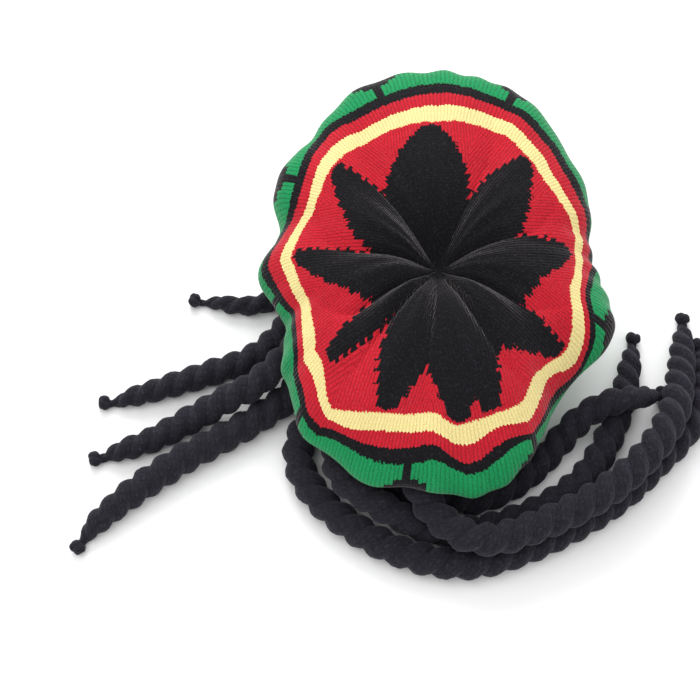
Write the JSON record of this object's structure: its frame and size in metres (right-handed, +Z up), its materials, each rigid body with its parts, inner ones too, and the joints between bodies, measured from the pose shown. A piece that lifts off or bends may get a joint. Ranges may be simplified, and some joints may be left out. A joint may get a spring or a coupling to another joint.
{
  "type": "knitted rasta tam with locks",
  "caption": "Slouchy round knitted cap with a petal star on its puffed top, coloured rings, a ribbed head opening and long twisted locks hanging from its back.",
  "frame": {"origin": "On the table under the middle of the hat's own outline, the locks left out", "axes": "+Z up, through the middle of the star; -Y towards the nape, where the locks come out; +Y towards the front"},
  "size_m": [0.5207, 0.4064, 0.1397],
  "materials": {
    "striped_knit": "knitted wool, red with yellow, green and black",
    "black_rib_knit": "ribbed black wool knit",
    "black_lock_yarn": "twisted black wool knit"
  },
  "bodies": {
    "root": {"crown_top": "striped_knit", "crown_side": "striped_knit", "headband": "black_rib_knit", "dreadlock_1": "black_lock_yarn", "dreadlock_2": "black_lock_yarn", "dreadlock_3": "black_lock_yarn", "dreadlock_4": "black_lock_yarn", "dreadlock_5": "black_lock_yarn", "dreadlock_6": "black_lock_yarn", "dreadlock_7": "black_lock_yarn", "dreadlock_8": "black_lock_yarn"}
  },
  "joints": []
}
